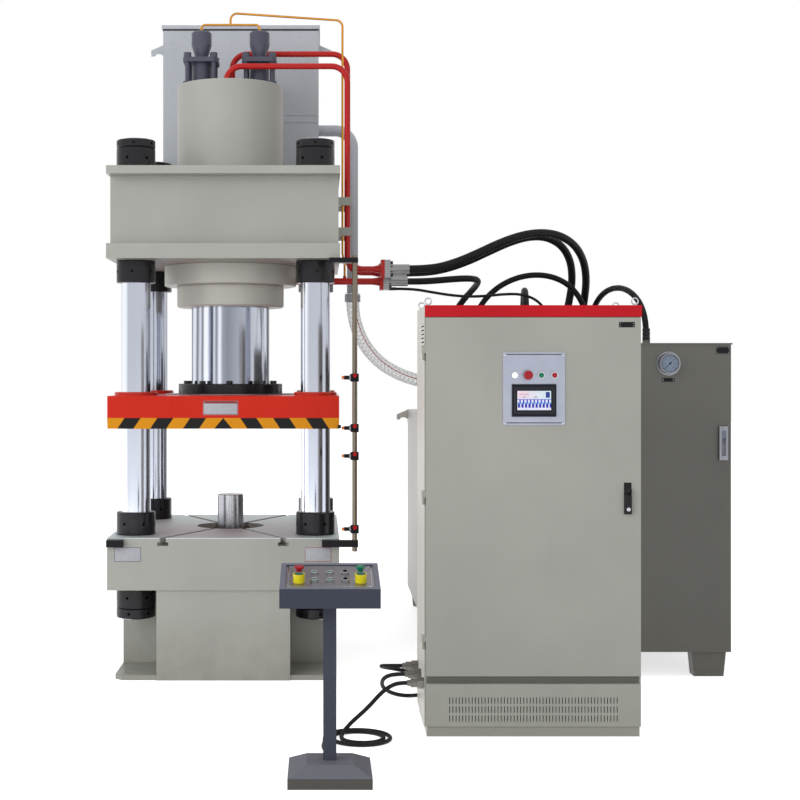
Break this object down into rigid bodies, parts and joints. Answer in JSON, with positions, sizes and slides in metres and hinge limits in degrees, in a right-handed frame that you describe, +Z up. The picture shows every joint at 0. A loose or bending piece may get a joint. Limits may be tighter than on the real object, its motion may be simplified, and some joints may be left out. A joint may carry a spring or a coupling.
{
  "type": "hydraulic press",
  "caption": "Four-column hydraulic press with chromed ram, red slide, ejector, overhead tank, operator pedestal, electrical cabinet and oil power unit joined by hoses.",
  "frame": {"origin": "centre of the four anchor holes on the floor, under the press axis", "axes": "+Z up along the ram axis, +X to the operator's right towards the cabinet, -Y to the operator and the work front"},
  "size_m": [3.155, 4.494, 3.547],
  "materials": {
    "machine_grey": "semi-gloss enamel",
    "tank_grey": "semi-gloss enamel",
    "cabinet_grey": "textured powder coat",
    "unit_grey": "semi-gloss enamel",
    "pedestal_blue": "satin enamel",
    "orange_red": "gloss enamel",
    "signal_red": "gloss enamel",
    "header_red": "gloss enamel",
    "hard_chrome": "polished",
    "bright_steel": "ground",
    "valve_grey": "gunmetal enamel",
    "black_steel": "black oxide",
    "zinc_steel": "zinc plated",
    "copper": "drawn",
    "nickel": "nickel plated",
    "hose_rubber": "matt",
    "cable_rubber": "satin",
    "clear_pvc": "clear, fibre reinforced",
    "panel_silver": "anodised",
    "motor_grey": "enamel",
    "plastic_red": "moulded",
    "plastic_green": "moulded",
    "plastic_black": "moulded",
    "screen_case": "moulded",
    "gauge_case": "moulded"
  },
  "bodies": {
    "frame": {"bed_base": "machine_grey", "bed_table": "machine_grey", "cabinet_cables": "cable_rubber", "cabinet_electrics": "zinc_steel", "cabinet_header": "header_red", "cabinet_shell": "cabinet_grey", "cabinet_vent_panel": "cabinet_grey", "cable_glands": "nickel", "clear_return_hose": "clear_pvc", "column_nuts": "black_steel", "columns": "hard_chrome", "cylinder_barrel": "machine_grey", "cylinder_gland": "machine_grey", "cylinder_ring_nut": "machine_grey", "ejector_cylinder": "machine_grey", "hose_fittings": "zinc_steel", "jumper_hoses": "hose_rubber", "limit_switches": "zinc_steel", "oil_tank": "unit_grey", "overhead_tank": "tank_grey", "overhead_tank_lid": "tank_grey", "pedestal_cable": "cable_rubber", "pedestal_cable_coil": "cable_rubber", "pedestal_console": "pedestal_blue", "pedestal_panel": "panel_silver", "pedestal_stand": "pedestal_blue", "pilot_hose": "hose_rubber", "pilot_pipe": "copper", "pipe_brackets": "black_steel", "prefill_valves": "valve_grey", "pressure_hoses": "hose_rubber", "pressure_pipes": "signal_red", "pump_set": "motor_grey", "return_pipe": "tank_grey", "switch_bar": "zinc_steel", "tank_gauges": "gauge_case", "upper_crosshead": "machine_grey", "valve_tank": "unit_grey"},
    "door": {"cabinet_door": "cabinet_grey", "operator_panel": "screen_case"},
    "latch": {"door_latch": "zinc_steel"},
    "handle": {"door_handle_lever": "plastic_black"},
    "slide": {"slide_platen": "orange_red", "guide_bushes": "orange_red", "ram": "hard_chrome", "ram_clamp": "black_steel"},
    "ejector": {"ejector_rod": "bright_steel"},
    "door_stop": {"door_button_stop": "plastic_red"},
    "door_green": {"door_button_green": "plastic_green"},
    "door_red": {"door_button_red": "plastic_red"},
    "emergency": {"button_emergency": "plastic_red"},
    "back_left": {"button_back_left": "plastic_green"},
    "back_middle": {"button_back_middle": "plastic_green"},
    "mushroom": {"button_mushroom_green": "plastic_green"},
    "palm_left": {"palm_button_left": "plastic_green"},
    "front_left": {"button_front_left": "plastic_green"},
    "front_middle": {"button_front_middle": "plastic_green"},
    "palm_right": {"palm_button_right": "plastic_green"},
    "selector_back": {"selector_back": "plastic_black"},
    "selector_front": {"selector_front": "plastic_black"}
  },
  "joints": [
    {"name": "slide_travel", "type": "slide", "parent": "frame", "child": "slide", "axis": [0, 0, 1], "range_m": [-0.36, 0.38]},
    {"name": "ejector_travel", "type": "slide", "parent": "frame", "child": "ejector", "axis": [0, 0, 1], "range_m": [-0.17, 0]},
    {"name": "door_hinge", "type": "hinge", "parent": "frame", "child": "door", "pos_m": [0.92, -1.777, 1.01], "axis": [0, 0, -1], "range_deg": [0, 100]},
    {"name": "latch_turn", "type": "hinge", "parent": "door", "child": "latch", "pos_m": [1.783, -1.788, 1.04], "axis": [0, 1, 0], "range_deg": [0, 90]},
    {"name": "handle_lift", "type": "hinge", "parent": "latch", "child": "handle", "pos_m": [1.783, -1.799, 1.04], "axis": [-1, 0, 0], "range_deg": [0, 35]},
    {"name": "door_stop_press", "type": "slide", "parent": "door", "child": "door_stop", "axis": [0, 1, 0], "range_m": [0, 0.004]},
    {"name": "door_green_press", "type": "slide", "parent": "door", "child": "door_green", "axis": [0, 1, 0], "range_m": [0, 0.004], "stiffness_N_per_m": 900},
    {"name": "door_red_press", "type": "slide", "parent": "door", "child": "door_red", "axis": [0, 1, 0], "range_m": [0, 0.004], "stiffness_N_per_m": 900},
    {"name": "emergency_press", "type": "slide", "parent": "frame", "child": "emergency", "axis": [0, 0.1724, -0.985], "range_m": [0, 0.004]},
    {"name": "back_left_press", "type": "slide", "parent": "frame", "child": "back_left", "axis": [0, 0.1724, -0.985], "range_m": [0, 0.004], "stiffness_N_per_m": 900},
    {"name": "back_middle_press", "type": "slide", "parent": "frame", "child": "back_middle", "axis": [0, 0.1724, -0.985], "range_m": [0, 0.004], "stiffness_N_per_m": 900},
    {"name": "mushroom_press", "type": "slide", "parent": "frame", "child": "mushroom", "axis": [0, 0.1724, -0.985], "range_m": [0, 0.004], "stiffness_N_per_m": 900},
    {"name": "palm_left_press", "type": "slide", "parent": "frame", "child": "palm_left", "axis": [0, 0.1724, -0.985], "range_m": [0, 0.0035], "stiffness_N_per_m": 900},
    {"name": "front_left_press", "type": "slide", "parent": "frame", "child": "front_left", "axis": [0, 0.1724, -0.985], "range_m": [0, 0.004], "stiffness_N_per_m": 900},
    {"name": "front_middle_press", "type": "slide", "parent": "frame", "child": "front_middle", "axis": [0, 0.1724, -0.985], "range_m": [0, 0.004], "stiffness_N_per_m": 900},
    {"name": "palm_right_press", "type": "slide", "parent": "frame", "child": "palm_right", "axis": [0, 0.1724, -0.985], "range_m": [0, 0.0035], "stiffness_N_per_m": 900},
    {"name": "selector_back_turn", "type": "hinge", "parent": "frame", "child": "selector_back", "pos_m": [0.579, -2.41284, 0.77275], "axis": [0, -0.1724, 0.985], "range_deg": [-45, 45]},
    {"name": "selector_front_turn", "type": "hinge", "parent": "frame", "child": "selector_front", "pos_m": [0.579, -2.50445, 0.75672], "axis": [0, -0.1724, 0.985], "range_deg": [-45, 45]}
  ]
}
